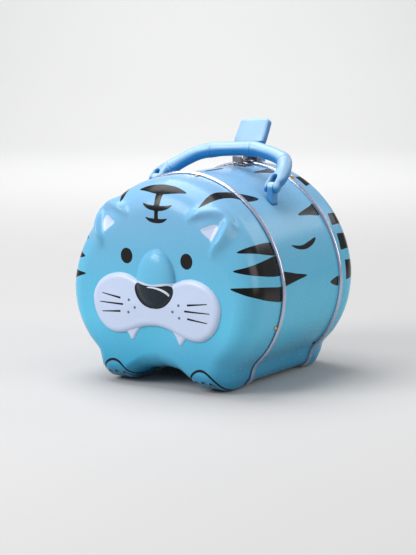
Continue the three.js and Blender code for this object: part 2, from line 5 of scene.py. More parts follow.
import bpy
import numpy as np
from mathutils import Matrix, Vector


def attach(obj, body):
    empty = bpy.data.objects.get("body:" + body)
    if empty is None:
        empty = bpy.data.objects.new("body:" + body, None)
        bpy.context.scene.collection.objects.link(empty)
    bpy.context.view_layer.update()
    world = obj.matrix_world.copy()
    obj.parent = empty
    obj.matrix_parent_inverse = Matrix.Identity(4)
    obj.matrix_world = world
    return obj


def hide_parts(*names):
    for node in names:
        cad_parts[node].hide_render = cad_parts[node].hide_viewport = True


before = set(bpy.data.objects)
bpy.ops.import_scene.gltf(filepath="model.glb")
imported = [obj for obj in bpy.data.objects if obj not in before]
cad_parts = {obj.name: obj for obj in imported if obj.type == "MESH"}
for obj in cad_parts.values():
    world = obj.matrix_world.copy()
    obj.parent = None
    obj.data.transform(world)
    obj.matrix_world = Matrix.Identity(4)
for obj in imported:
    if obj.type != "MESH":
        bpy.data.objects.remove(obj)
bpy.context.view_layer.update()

# ---- Camera, floor and lights ----
# A plain pale studio: one sheet for the floor, a wide soft light overhead and to the left, one high
# in front, a weak one at the right, and one behind for the rim of the crown and the handle.
VIEW_TURN = math.radians(33.6)  # how far round to the animal's left the box is seen from
camera = bpy.data.objects.new("camera", bpy.data.cameras.new("camera"))
bpy.context.scene.collection.objects.link(camera)
camera.location = (0.926, -1.402, 0.359)
camera.rotation_euler = (math.radians(80.61), 0, VIEW_TURN)
camera.data.sensor_fit = "VERTICAL"
camera.data.sensor_height = 24
camera.data.lens = 86.52
bpy.context.scene.camera = camera
bpy.context.scene.view_settings.view_transform = "Standard"


def soft_light(name, place, size, watts, tint=(1, 1, 1), aim=(0, 0, 0.1)):
    """A square area light, turned to the middle of the box unless it is aimed elsewhere."""
    lamp = bpy.data.lights.new(name, "AREA")
    lamp.size = size
    lamp.energy = watts
    lamp.color = tint
    holder = bpy.data.objects.new(name, lamp)
    bpy.context.scene.collection.objects.link(holder)
    holder.location = place
    holder.rotation_euler = (Vector(aim) - Vector(place)).to_track_quat("-Z", "Y").to_euler()


soft_light("overhead", (-0.45, 0.1, 1.5), 1.2, 24, (1, 0.985, 0.99))
soft_light("front", (-0.8, -1.5, 1.2), 1.0, 31)
soft_light("backdrop", (-0.9, 1.3, 1.2), 1.2, 25, aim=(-1.4, 2.2, 0.15))
soft_light("behind", (0.7, 1.3, 1.0), 0.6, 3)
soft_light("side", (1.6, 0.1, 0.7), 0.8, 8, (1, 0.97, 0.9))

world = bpy.data.worlds.new("studio")
world.use_nodes = True
world.node_tree.nodes["Background"].inputs["Color"].default_value = (0.86, 0.88, 0.92, 1)
world.node_tree.nodes["Background"].inputs["Strength"].default_value = 0.5
bpy.context.scene.world = world


def add(tree, kind, inputs=None, **settings):
    """A node with its settings, each input a value or another node's output."""
    made = tree.nodes.new(kind)
    for key, value in settings.items():
        setattr(made, key, value)
    for key, value in (inputs or {}).items():
        if isinstance(value, bpy.types.NodeSocket):
            tree.links.new(value, made.inputs[key])
        else:
            made.inputs[key].default_value = value
    return made


def new_material(name, roughness, metallic=0.0, **fixed):
    """A material with its tree and shader, the values that are even all over set on the shader."""
    material = bpy.data.materials.new(name)
    material.use_nodes = True
    tree = material.node_tree
    shader = tree.nodes["Principled BSDF"]
    shader.inputs["Roughness"].default_value = roughness
    shader.inputs["Metallic"].default_value = metallic
    for key, value in fixed.items():
        shader.inputs[key.replace("_", " ")].default_value = value
    place = tree.nodes.new("ShaderNodeTexCoord").outputs["Object"]
    return material, tree, shader, place


def noise(tree, place, scale, detail=2.0):
    """Fractal noise, its value near a half."""
    sockets = {"Vector": place, "Scale": scale, "Detail": detail}
    return add(tree, "ShaderNodeTexNoise", sockets).outputs["Fac"]


def bump(tree, shader, height, distance, strength=1.0):
    """Tilts the shaded surface as if it stood out by the height times the distance."""
    sockets = {"Height": height, "Distance": distance, "Strength": strength}
    made = add(tree, "ShaderNodeBump", sockets)
    tree.links.new(made.outputs["Normal"], shader.inputs["Normal"])


def spread(tree, value, low, high, to_low=0.0, to_high=1.0):
    """The value moved from one range to another and kept inside it."""
    sockets = {"Value": value, "From Min": low, "From Max": high, "To Min": to_low, "To Max": to_high}
    return add(tree, "ShaderNodeMapRange", sockets).outputs["Result"]


def mix(tree, factor, first, second):
    """One colour laid over another by a factor."""
    made = tree.nodes.new("ShaderNodeMix")
    made.data_type = "RGBA"
    for key, value in ((0, factor), (6, first), (7, second)):
        if isinstance(value, bpy.types.NodeSocket):
            tree.links.new(value, made.inputs[key])
        else:
            made.inputs[key].default_value = value
    return made.outputs[2]


floor_material, tree, shader, place = new_material("pale_floor", 0.8)
tone = mix(tree, noise(tree, place, 3), (0.45, 0.45, 0.45, 1), (0.47, 0.47, 0.47, 1))
tree.links.new(tone, shader.inputs["Base Color"])
# The sheet lies flat, sweeps up behind the box in a quarter circle a metre in radius and goes on
# upwards. It keeps a hair below the soles.
FLOOR_START, SWEEP_START, SHEET_TOP, BELOW_SOLES = -3.6, 1.9, 4.2, 0.0006
sweep = np.radians(np.linspace(0, 90, 13))
away = np.concatenate([[FLOOR_START], SWEEP_START + np.sin(sweep), [SWEEP_START + 1]])
rise = np.concatenate([[0], 1 - np.cos(sweep), [SHEET_TOP]]) - BELOW_SOLES
columns = 9
sideways = np.linspace(-5, 5, columns)
floor_points = np.stack([
    np.outer(away, 0 * sideways - math.sin(VIEW_TURN)) + sideways * math.cos(VIEW_TURN),
    np.outer(away, 0 * sideways + math.cos(VIEW_TURN)) + sideways * math.sin(VIEW_TURN),
    np.outer(rise, 0 * sideways + 1),
], -1).reshape(-1, 3)
corner = (np.arange(len(away) - 1)[:, None] * columns + np.arange(columns - 1)).ravel()
floor_mesh = bpy.data.meshes.new("floor")
floor_faces = np.stack([corner, corner + 1, corner + columns + 1, corner + columns], 1)
floor_mesh.from_pydata(floor_points.tolist(), [], floor_faces.tolist())
floor_mesh.polygons.foreach_set("use_smooth", np.ones(len(floor_faces), bool))
floor_mesh.materials.append(floor_material)
floor = bpy.data.objects.new("floor", floor_mesh)
bpy.context.scene.collection.objects.link(floor)

# ---- Body band ----
# One sheet of printed tinplate rolled round, with a bead rolled up along each edge and the coin
# slot pressed through its crown. The print is baked on and varnished.
MM = 0.001
SHEET = 0.9
GAP = 0.3
FRONT_SEAM = -37
REAR_SEAM = 55
BEAD_RADIUS = 1.75
BEAD_PROUD = 2.6
HALF_WIDTH = 92.2
CROWN_Z = 173.45
WAIST_Z = 80
FLANK_REACH = 86
SLOT_HALF = 2.4
SLOT_ENDS = (-13.5, 16.5)


def smooth(low, high, value):
    """0 at low, 1 at high, and between them an S-curve, 3t^2 - 2t^3."""
    t = np.clip((value - low) / (high - low), 0, 1)
    return t * t * (3 - 2 * t)


def curve_through(points, steps, closed=False):
    """Catmull-Rom curve through the points: a cubic between each pair, its slope half the way
    from the point before to the point after."""
    points = np.asarray(points, float)
    ends = (points[-1:], points[:2]) if closed else (points[:1], points[-1:])
    p = np.concatenate([ends[0], points, ends[1]])
    p0, p1, p2, p3 = p[:-3], p[1:-2], p[2:-1], p[3:]
    t = np.linspace(0, 1, steps, endpoint=False)[:, None, None]
    v0, v1 = (p2 - p0) / 2, (p3 - p1) / 2
    cubed, squared = 2 * p1 - 2 * p2 + v0 + v1, 3 * p2 - 3 * p1 - 2 * v0 - v1
    curve = cubed * t**3 + squared * t**2 + v0 * t + p1
    curve = curve.transpose(1, 0, 2).reshape(-1, points.shape[1])
    return curve if closed else np.concatenate([curve, points[-1:]])


def wall_section(count):
    """Section of the body as equal steps along its outline, from the belly over the left side, the
    crown and the right side: a superellipse over the waist, an ellipse down the flank, then the foot
    and the arch of the belly. Gives the way along it from the crown, its points and its normals."""
    crown = np.radians(np.linspace(0, 90, 10))
    flank = np.radians(45) * np.arange(1, 5) / 4
    power = 2 / 1.9
    half = np.concatenate(
        [
            np.stack([HALF_WIDTH * np.sin(crown) ** power, np.cos(crown) ** power], 1)
            * (1, CROWN_Z - WAIST_Z) + (0, WAIST_Z),
            np.stack([HALF_WIDTH * np.cos(flank), WAIST_Z - FLANK_REACH * np.sin(flank)], 1),
            [[61.2, 8.5], [57.4, 3.8], [53, 2.6], [39, 2.6], [32, 5.4], [19, 11.5], [0, 14.5]],
        ]
    )
    fine = curve_through(half, 60)
    length = np.r_[0, np.cumsum(np.linalg.norm(np.diff(fine, axis=0), axis=1))]
    way = np.linspace(-length[-1], length[-1], count, endpoint=False)
    for edge in (-SLOT_HALF, SLOT_HALF):
        way[np.argmin(abs(way - edge))] = edge
    x = np.interp(abs(way), length, fine[:, 0]) * np.sign(way)
    z = np.interp(abs(way), length, fine[:, 1])
    points = np.stack([x, np.where(z < 2.9, BEAD_PROUD, z)], 1)
    along = np.roll(points, -1, 0) - np.roll(points, 1, 0)
    normals = np.stack([-along[:, 1], along[:, 0]], 1)
    return way, points, normals / np.linalg.norm(normals, axis=1)[:, None]


AROUND = 480
way, wall, wall_normal = wall_section(AROUND)


def finished(name, points, faces, material, marks=None):
    """An object from points in millimetres and faces, turned outwards by the sign of its volume."""
    faces = [np.asarray(f) for f in faces if len(f)]
    fans = [f[:, [0, k, k + 1]] for f in faces for k in range(1, f.shape[1] - 1)]
    a, b, c = (points[np.concatenate(fans)[:, k]] for k in range(3))
    if np.einsum("ij,ij->", a, np.cross(b, c)) < 0:
        faces = [f[:, ::-1] for f in faces]
    mesh = bpy.data.meshes.new(name)
    mesh.from_pydata((points * MM).tolist(), [], sum((f.tolist() for f in faces), []))
    mesh.polygons.foreach_set("use_smooth", np.ones(len(mesh.polygons), bool))
    for key, values in (marks or {}).items():
        attribute = mesh.attributes.new(key, "FLOAT", "POINT")
        attribute.data.foreach_set("value", np.asarray(values, np.float32).ravel())
    mesh.materials.append(material)
    piece = bpy.data.objects.new(name, mesh)
    bpy.context.scene.collection.objects.link(piece)
    return piece


def fit(piece, body, slot, *nodes):
    """Hands a finished piece over: its body and the CAD nodes that it stands for. The slot, the name
    of its finish, is not used.
    """
    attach(piece, body)
    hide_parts(*nodes)


def grid_faces(rows, columns, wrap):
    """Squares between neighbouring rows, each row closed, and the last row joined to the first
    where the grid wraps."""
    i = np.arange(rows if wrap else rows - 1)[:, None]
    j = np.arange(columns)[None, :]
    k = (j + 1) % columns
    below = ((i + 1) % rows) * columns
    return np.stack([i * columns + j, i * columns + k, below + k, below + j], -1).reshape(-1, 4)


def closed_surface(name, rows, material, wrap=False, marks=None):
    """A grid of points as one closed body: rows wrap round, or end in a point at each end."""
    count, columns = rows.shape[:2]
    points = rows.reshape(-1, 3)
    faces = [grid_faces(count, columns, wrap)]
    marks = {key: np.asarray(values).ravel() for key, values in (marks or {}).items()}
    if not wrap:
        j = np.arange(columns)
        k = (j + 1) % columns
        last = (count - 1) * columns
        first_pole = np.full(columns, len(points))
        faces.append(np.stack([first_pole, k, j], 1))
        faces.append(np.stack([first_pole + 1, last + j, last + k], 1))
        points = np.concatenate([points, [rows[0].mean(0)], [rows[-1].mean(0)]])
        for key, values in marks.items():
            poles = values[:columns].mean(), values[last : last + columns].mean()
            marks[key] = np.r_[values, poles]
    return finished(name, points, faces, material, marks)


def inside(u, v, outline):
    """Signed distance from each point to a closed outline, positive inside: the shortest distance
    to any of its sides, with the sign from how many sides lie to one side of the point."""
    nearest = np.full(u.shape, 1e9)
    within = np.zeros(u.shape, bool)
    for (ax, ay), (bx, by) in zip(outline, np.roll(outline, -1, 0)):
        dx, dy = bx - ax, by - ay
        t = np.clip(((u - ax) * dx + (v - ay) * dy) / (dx * dx + dy * dy + 1e-12), 0, 1)
        nearest = np.minimum(nearest, np.hypot(u - ax - t * dx, v - ay - t * dy))
        if dy:
            within ^= ((ay > v) != (by > v)) & (u < dx * (v - ay) / dy + ax)
    return np.where(within, nearest, -nearest)


UNPRINTED = -9.0  # stands for a distance well outside every printed shape


def printed(u, v, shapes, rounding=5):
    """The largest signed distance to any of the shapes, each a smooth closed curve through its
    points. Points far from a shape count as unprinted."""
    ink = np.full(u.shape, UNPRINTED)
    for shape in shapes:
        outline = curve_through(shape, rounding, closed=True)
        low, high = outline.min(0) - 4, outline.max(0) + 4
        near = (u > low[0]) & (u < high[0]) & (v > low[1]) & (v < high[1])
        ink[near] = np.maximum(ink[near], inside(u[near], v[near], outline))
    return ink


# Stripes of the band, as the way from the crown and the place along the body.
BAND_STRIPES = [
    [(48.5, -36), (52, -24), (58.2, -14), (60, -23), (58, -36)],
    [(74.5, 54), (76, 45), (81.5, 21), (83.7, 37), (85.5, 54)],
    [(106, -10), (108, 6), (103.8, 29.5), (108.6, 24), (111.8, 10.8), (110.4, -2.5)],
    [(125.8, -36), (126.4, -28), (129.5, -14), (133, 2.7), (135.2, -13), (137.4, -31),
     (137.6, -36)],
    [(140.5, 54), (144, 39), (149, 54)],
    [(22, 54), (21.4, 41), (23.4, 27), (27.5, 41), (31, 54)],
]


def ring(offset, y):
    """The wall's section moved out along its normals, at a place along the body."""
    offset, y = np.asarray(offset, float)[..., None], np.asarray(y, float)[..., None]
    x = wall[:, 0] + offset * wall_normal[:, 0]
    z = wall[:, 1] + offset * wall_normal[:, 1]
    return np.stack([x, y + 0 * x, z], -1)


# The profile runs forward along the outer wall, round the front bead, back along the inner wall and
# round the rear bead.
WALL_ROWS = 88
BEAD_ROWS = 26
INNER_START = WALL_ROWS + BEAD_ROWS
INNER_END = INNER_START + WALL_ROWS


def bead_arc(seam, way_out):
    """Profile of a bead: a circle from the wall's outer face round to its inner face."""
    angle = way_out * np.radians(np.linspace(-118, 150, BEAD_ROWS))
    centre = BEAD_PROUD - BEAD_RADIUS
    return centre + BEAD_RADIUS * np.cos(angle), seam + BEAD_RADIUS * np.sin(angle)


rear_bead = bead_arc(REAR_SEAM, 1)
front_bead = bead_arc(FRONT_SEAM, -1)
wall_y = np.linspace(REAR_SEAM - BEAD_RADIUS - GAP, FRONT_SEAM + BEAD_RADIUS + GAP, WALL_ROWS)
for end in SLOT_ENDS:
    wall_y[np.argmin(abs(wall_y - end))] = end
profile_offset = np.concatenate([
    0 * wall_y, front_bead[0], -SHEET + 0 * wall_y, rear_bead[0][::-1]])
profile_y = np.concatenate([wall_y, front_bead[1], wall_y[::-1], rear_bead[1][::-1]])
band_rows = ring(profile_offset, profile_y)
spot_s = np.broadcast_to(abs(way), band_rows.shape[:2])
band_marks = {
    "ink": printed(spot_s, band_rows[..., 1], BAND_STRIPES),
    "bead": np.broadcast_to((profile_offset > 0.25)[:, None], spot_s.shape).astype(float),
    "bare": np.broadcast_to((profile_offset < -0.5)[:, None], spot_s.shape).astype(float),
}
band_marks["ink"][WALL_ROWS:INNER_START] = UNPRINTED
band_marks["ink"][INNER_END:] = UNPRINTED


def slotted(faces):
    """Leaves out the squares of the outer and inner wall inside the slot and joins the two rims
    of the opening with a strip of squares."""
    i0, i1 = (int(np.argmin(abs(wall_y - end))) for end in SLOT_ENDS[::-1])
    j0, j1 = (int(np.argmin(abs(way - edge))) for edge in (-SLOT_HALF, SLOT_HALF))
    i, j = np.divmod(np.arange(len(faces)), AROUND)
    opposite = INNER_END - 1 - i
    outer_hole = (i >= i0) & (i < i1)
    inner_hole = (opposite > i0) & (opposite <= i1)
    hole = (j >= j0) & (j < j1) & (outer_hole | inner_hole)
    path = [(i0, j) for j in range(j0, j1)] + [(i, j1) for i in range(i0, i1)]
    path += [(i1, j) for j in range(j1, j0, -1)] + [(i, j0) for i in range(i1, i0, -1)]
    path = np.array(path)
    outer = path[:, 0] * AROUND + path[:, 1]
    inner = (INNER_END - 1 - path[:, 0]) * AROUND + path[:, 1]
    strip = np.stack([outer, np.roll(outer, -1), np.roll(inner, -1), inner], 1)
    return [faces[~hole], strip]


def hue(red, green, blue):
    """A colour given as 0 to 255, as linear light."""
    part = np.array([red, green, blue]) / 255
    return (*np.where(part < 0.04045, part / 12.92, ((part + 0.055) / 1.055) ** 2.4), 1)


INK = hue(9, 9, 11)
BARE = hue(206, 210, 218)
BEAD_TINT = hue(184, 188, 208)


def attribute(tree, name):
    """The value that the piece's own points carry under a name."""
    return add(tree, "ShaderNodeAttribute", attribute_name=name).outputs["Fac"]


EDGE_SOFTNESS = 0.12


def print_edge(tree, value):
    """0 outside a printed shape and 1 inside, rising over a quarter of a millimetre at its edge."""
    return spread(tree, value, -EDGE_SOFTNESS, EDGE_SOFTNESS)


def maths(tree, operation, *values):
    """One sum on numbers or other nodes' outputs."""
    return add(tree, "ShaderNodeMath", dict(enumerate(values)), operation=operation).outputs[0]


# The blue from the soles to the crown: painted shade darkens it towards the soles, and a painted sky
# reflection turns it pale lavender at the crown.
CROWN_HEIGHT = 0.175
SHADED_SKY = [
    (0, hue(18, 124, 164)),
    (0.3, hue(80, 180, 210)),
    (0.65, hue(96, 168, 200)),
    (1, hue(124, 168, 204)),
]


def printed_tin(name, layers, extra=None):
    """Varnished print on tin: sky blue with painted shade deepening it towards the feet and a painted
    reflection paling it at the crown, a faint blotch and grain in the ink, printed layers over it, and a
    varnish that ripples a little with the sheet."""
    material, tree, shader, place = new_material(
        name, 0.2, 0.0, Coat_Weight=0.06, Coat_Roughness=0.06, Coat_IOR=1.4, IOR=1.31
    )
    height = add(tree, "ShaderNodeSeparateXYZ", {"Vector": place}).outputs["Z"]
    ramp = add(tree, "ShaderNodeValToRGB", {"Fac": spread(tree, height, 0, CROWN_HEIGHT)})
    while len(ramp.color_ramp.elements) < len(SHADED_SKY):
        ramp.color_ramp.elements.new(0.5)
    for element, (position, colour) in zip(ramp.color_ramp.elements, SHADED_SKY):
        element.position = position
        element.color = colour
    blotch = spread(tree, noise(tree, place, 14, 4), 0.35, 0.65)
    sky = ramp.outputs["Color"]
    base = mix(tree, blotch, sky, mix(tree, 0.1, sky, hue(150, 176, 222)))
    grain = noise(tree, place, 1600, 3)
    base = mix(tree, spread(tree, grain, 0.45, 0.7, 0, 0.1), base, hue(30, 100, 150))
    for key, colour in layers:
        base = mix(tree, print_edge(tree, attribute(tree, key)), base, colour)
    if extra:
        base = extra(tree, place, base)
    base = mix(tree, attribute(tree, "bare"), base, BARE)
    tree.links.new(base, shader.inputs["Base Color"])
    unvarnished = maths(tree, "ADD", attribute(tree, "bare"), attribute(tree, "bead"))
    tree.links.new(spread(tree, unvarnished, 0, 1, 0.0, 0.8), shader.inputs["Metallic"])
    rough = spread(tree, noise(tree, place, 420, 5), 0.3, 0.75, 0.19, 0.3)
    tree.links.new(rough, shader.inputs["Roughness"])
    ripple = maths(tree, "MULTIPLY", noise(tree, place, 30, 1), 12.0)
    bump(tree, shader, maths(tree, "ADD", ripple, noise(tree, place, 900, 2)), 0.00002, 0.25)
    return material


def lavender_bead(tree, place, base):
    """The bead's tin, tinted lavender."""
    return mix(tree, attribute(tree, "bead"), base, BEAD_TINT)


band_print = printed_tin("band_print", [("ink", INK)], lavender_bead)
band = finished(
    "band_sheet",
    band_rows.reshape(-1, 3),
    slotted(grid_faces(len(band_rows), AROUND, True)),
    band_print,
    band_marks,
)
fit(band, "body", "band_print", "body_band")

# ---- Front cap ----
# Drawn from one blank: the wall, the rounded shoulder and the face with the muzzle, nose and ears
# embossed in it, printed before drawing. Its edge meets the front bead and is riveted to the liner.
CAP_EDGE = BEAD_RADIUS + GAP
CENTRE = np.array([0, WAIST_Z + 6.0])
CENTRE_HOLE = 0.004  # share of a cap's plane that its last row leaves to the closing point


def cap_rows(seam, way_out, depth, wall_depth, shoulder, counts, offset=0.0):
    """Outer or inner face of a cap: straight out from its edge to a depth that varies round it, a
    quarter of an ellipse inwards over the shoulder, and straight lines to the centre of the plane.
    Over the soles the wall drops by the bead's height, so that the box stands on them."""
    inwards = (CENTRE - wall) / np.linalg.norm(CENTRE - wall, axis=1)[:, None]
    up = smooth(-0.2, 0.9, wall_normal[:, 1])
    down = smooth(-0.3, -0.95, wall_normal[:, 1])
    sole = smooth(7.5, 3.6, wall[:, 1])
    reach, turn = wall_depth(up, down), shoulder(up) + offset
    part = np.linspace(0, 1, counts[0])[:, None]
    angle = np.linspace(0, math.pi / 2, counts[1] + 1)[1:, None]
    inset = np.concatenate([0 * part * turn, turn * (1 - np.cos(angle))])
    out = np.concatenate([
        CAP_EDGE + (reach - CAP_EDGE) * part,
        reach + (depth + offset - reach) * np.sin(angle),
    ])
    let_down = np.concatenate([smooth(0, 0.3, part) + 0 * turn, np.cos(angle) ** 2 + 0 * turn])
    drop = BEAD_PROUD * let_down * sole
    flat = wall + offset * wall_normal
    x = flat[:, 0] + inset * inwards[:, 0]
    z = flat[:, 1] + inset * inwards[:, 1] - drop
    rows = np.stack([x, seam + way_out * out, z], -1)
    share = np.linspace(1, CENTRE_HOLE, counts[2] + 1)[1:, None]
    rim = rows[-1]
    plane = np.stack([rim[:, 0] * share, rim[:, 1] + 0 * share,
                      CENTRE[1] + (rim[:, 2] - CENTRE[1]) * share], -1)
    return np.concatenate([rows, plane])


def row_normals(rows, way_out):
    """Unit normals of a grid from the cross product of its two directions, pointing out of the cap."""
    around = np.roll(rows, -1, 1) - np.roll(rows, 1, 1)
    normal = np.cross(np.gradient(rows, axis=0), around)
    normal /= np.linalg.norm(normal, axis=2)[..., None] + 1e-12
    return normal * np.sign(normal[-2, 0, 1] * way_out)


def way_down(rows):
    """Distance along the surface from a cap's edge: the lengths from row to row added up."""
    lengths = np.linalg.norm(np.diff(rows, axis=0), axis=2)
    return np.concatenate([np.zeros((1, AROUND)), np.cumsum(lengths, axis=0)])


# Rows of a cap's wall, its shoulder and its plane, outside and inside.
FACE_ROWS = (16, 40, 104)
INNER_ROWS = (4, 10, 8)
FACE_DEPTH = 47.5
FACE_HOLLOW = 2.2  # how far the inner face stays behind the embossing


def front_wall(up, down):
    """Depth of the wall: less over the crown, and least at the soles."""
    return 28 - 10 * up - 12 * down


def front_shoulder(up):
    """Width of the shoulder, which is broadest over the crown."""
    return 16.5 + 12 * up


face = cap_rows(FRONT_SEAM, -1, FACE_DEPTH, front_wall, front_shoulder, FACE_ROWS)
face_x, face_z = abs(face[..., 0]), face[..., 2]
from_edge = way_down(face)


def mirrored(points):
    """A right half outline from top to bottom, closed over the middle by its mirror image."""
    return [*points, *((-x, z) for x, z in reversed(points) if x > 0)]


# Outlines on the flat of the face, as the distance from the middle and the height. The glint lies
# on one side only.
MUZZLE = mirrored([(0, 88), (11, 89.5), (19, 90), (27, 93), (36.4, 94), (47, 91.6), (56, 86),
                   (61.5, 78), (63, 70), (60.5, 59), (55, 50.5), (47, 45), (39.7, 43.5),
                   (31, 44.6), (22, 47.6), (11, 51.2), (0, 52.4)])
TOOTH = [(17, 50), (19.6, 45), (23.7, 38.6), (27.6, 43), (30.6, 48)]
NOSE_PAD = mirrored([(0, 86.6), (8, 87), (15, 88), (18.6, 85.6), (18.9, 81), (16, 75), (10.5, 70),
                     (4.5, 67.8), (0, 67.5)])
GLINT = [(-4, 85.3), (3, 84.9), (9, 83.4), (13, 81), (15, 78.8), (15.2, 81.4), (11.4, 84.4), (5, 86),
         (-1, 86.2)]
EAR = [(42.6, 135), (47.2, 137.8), (51.8, 139.6), (55.4, 139), (56.4, 135.4), (55.2, 130.8),
       (53, 126.8), (49.4, 129.4)]
EAR_RIDGE = curve_through([(30, 143), (40, 146.6), (50, 147.4), (58.4, 144.4), (61.6, 137), (60, 128),
                           (56.4, 120), (55, 113)], 6)
# Top mark of the forehead, as the way from the crown and the distance from the cap's edge.
LENS = mirrored([(0, 34.4), (9, 34.5), (17, 35.2), (26, 37), (19, 40.2), (12.3, 42.5), (6, 44),
                 (0, 44.6)])
# Lower marks of the forehead, on the flat of the face.
CRESCENTS = [
    mirrored([(0, 151.6), (8, 152), (15, 153), (9, 148.8), (0, 147.4)]),
    mirrored([(0, 141.2), (6, 141.3), (10.9, 141.8), (6.5, 138.4), (0, 137.4)]),
]
STEM = mirrored([(0, 163), (3.2, 162), (2.6, 152), (1.9, 147), (1.8, 140), (0, 139)])
# Side stripes and brows, as the way from the crown and the distance from the cap's edge.
CAP_STRIPES = [
    [(100.4, -3), (99.3, 23), (100.6, 41.5), (106.2, 25), (110.8, -3)],
    [(112.4, -3), (113, 16), (115.2, 36), (116.4, 50), (123.8, 32), (127.6, -3)],
    [(137.6, -3), (136.6, 6), (133, 35), (133, 56.5), (138.6, 46), (142, 35), (146.4, 18),
     (149, -3)],
    [(47.6, -3), (43.6, 10), (42.2, 24), (43.6, 36), (46, 43.6), (48.2, 36), (50.4, 22), (52.8, 6),
     (57.4, -3)],
]


def along_ridge(x, z, line):
    """Distance to an open line and the side of it that each point lies on, 1 to its left."""
    nearest, side = np.full(x.shape, 1e9), np.ones(x.shape)
    for (ax, az), (bx, bz) in zip(line[:-1], line[1:]):
        dx, dz = bx - ax, bz - az
        t = np.clip(((x - ax) * dx + (z - az) * dz) / (dx * dx + dz * dz), 0, 1)
        gap = np.hypot(x - ax - t * dx, z - az - t * dz)
        closer = gap < nearest
        side = np.where(closer, np.sign(dx * (z - az) - dz * (x - ax)), side)
        nearest = np.minimum(nearest, gap)
    return nearest, side


def pillow(distance, edge):
    """A plateau of height 1 whose edge is a quarter circle of the given width."""
    t = np.clip(distance / edge, 0, 1)
    return np.sqrt(1 - (1 - t) ** 2)


def on_face(distance):
    """A printed shape kept to the face, and off the wall behind it that has the same height."""
    return np.where(from_edge > 30, distance, UNPRINTED)


muzzle = on_face(printed(face_x, face_z, [MUZZLE]))
tooth = on_face(printed(face_x, face_z, [TOOTH], 3))
ear = on_face(printed(face_x, face_z, [EAR]))
muzzle_depth = on_face(inside(face_x, face_z, curve_through(MUZZLE, 3, closed=True)))
NOSE_Z = 89
NOSE_HALF = 18.8
nose_reach = np.where(face_z > NOSE_Z, 26.7, 21.6)  # from its middle up, and from its middle down
nose = np.clip(1 - (face_x / NOSE_HALF) ** 2 - ((face_z - NOSE_Z) / nose_reach) ** 2, 0, 1)
ridge_gap, ridge_side = along_ridge(face_x, face_z, EAR_RIDGE)
ridge_fade = smooth(26, 40, face_x) * smooth(110, 126, face_z)
ridge_width = np.where(ridge_side > 0, 5.6, 2.6)
MUZZLE_HEIGHT, MUZZLE_SWELL, TOOTH_HEIGHT, NOSE_HEIGHT = 3.6, 0.9, 1.5, 8.3
EAR_HEIGHT, EAR_HOLLOW, CHIN_DENT = 4.6, 1.3, 1.3
# The muzzle, a tooth and the nose stand where each is highest; the ear's ridge, a bell curve across
# its line, is added to them; the ear's hollow and the chin are pressed in.
relief = MUZZLE_HEIGHT * pillow(muzzle, 5) + MUZZLE_SWELL * smooth(3, 26, muzzle_depth)
relief = np.maximum(relief, TOOTH_HEIGHT * pillow(tooth, 2.4))
relief = np.maximum(relief, NOSE_HEIGHT * nose**0.42)
relief += EAR_HEIGHT * np.exp(-((ridge_gap / ridge_width) ** 2)) * ridge_fade
relief -= EAR_HOLLOW * smooth(-1, 3, ear)
relief -= CHIN_DENT * np.exp(-((face_x / 16) ** 2) - ((face_z - 44) / 7) ** 2)
relief *= smooth(24, 34, from_edge)
face = face + row_normals(face, -1) * relief[..., None]

cap_inner = cap_rows(FRONT_SEAM, -1, FACE_DEPTH - FACE_HOLLOW, front_wall, front_shoulder,
                     INNER_ROWS, -SHEET)
face_s = np.broadcast_to(abs(way), face_x.shape)
stripes = printed(face_s, from_edge, CAP_STRIPES)
forehead = np.where(from_edge > 12, printed(face_x, face_z, [*CRESCENTS, STEM]), UNPRINTED)
forehead = np.maximum(forehead, printed(face_s, from_edge, [LENS]))
forehead = np.where(face_z > 120, forehead, UNPRINTED)
pad = on_face(printed(face_x, face_z, [NOSE_PAD]))
PAD_LINE = 1.1  # width of the black line round the nose pad
front_marks = {
    "ink": np.maximum(stripes, forehead),
    "cream": np.maximum(np.maximum(muzzle, tooth), ear),
    "pad_edge": pad,
    "pad": pad - PAD_LINE,
    "glint": on_face(printed(face[..., 0], face_z, [GLINT])),
}


def both_faces(marks, outer, inner):
    """Marks of a cap whose outer rows run from the centre to the edge and whose inner rows follow:
    the inner face is unprinted, and bare tin."""
    unprinted = np.full(inner.shape[:2], UNPRINTED)
    marks = {key: np.concatenate([values[::-1], unprinted]) for key, values in marks.items()}
    printed_side = np.zeros(outer.shape[:2])
    return {**marks, "bare": np.concatenate([printed_side, 0 * unprinted + 1])}


CREAM = hue(184, 196, 220)
# Whiskers run from their root to their tip. Eyes, paws and toes are a centre and two radii.
WHISKERS = [
    ((33.8, 73.6), (51.7, 76)),
    ((31.2, 68.4), (54.2, 68.4)),
    ((33.9, 62.3), (51.9, 60.5)),
]
WHISKER_ROOT, WHISKER_TIP = 0.85, 0.4
DOTS = [(24.7, 72.5), (18.8, 66.7), (25.3, 62.2)]
DOT_RADII = (1.2, 1.2)
EYE = ((29.7, 108.4), (5.9, 6.5))
PAW = ((43.5, 1.5), (13.4, 18.4))
TOES = [((36, 0), (3.3, 9)), ((43.4, 0), (3.3, 9.6)), ((50.6, 0), (3.2, 9))]
PAW_LINE, TOE_LINE = 0.95, 0.7


def vectors(tree, operation, *values, out="Vector"):
    """One operation on vectors."""
    return add(tree, "ShaderNodeVectorMath", dict(enumerate(values)), operation=operation).outputs[out]


def oval(tree, flat, centre, radii):
    """Distance inside an ellipse, near enough: one less the scaled distance from its centre."""
    moved = vectors(tree, "SUBTRACT", flat, (centre[0] * MM, 0, centre[1] * MM))
    scaled = vectors(tree, "DIVIDE", moved, (radii[0] * MM, 1, radii[1] * MM))
    reach = vectors(tree, "LENGTH", scaled, out="Value")
    return maths(tree, "MULTIPLY", maths(tree, "SUBTRACT", 1.0, reach), sum(radii) / 2)


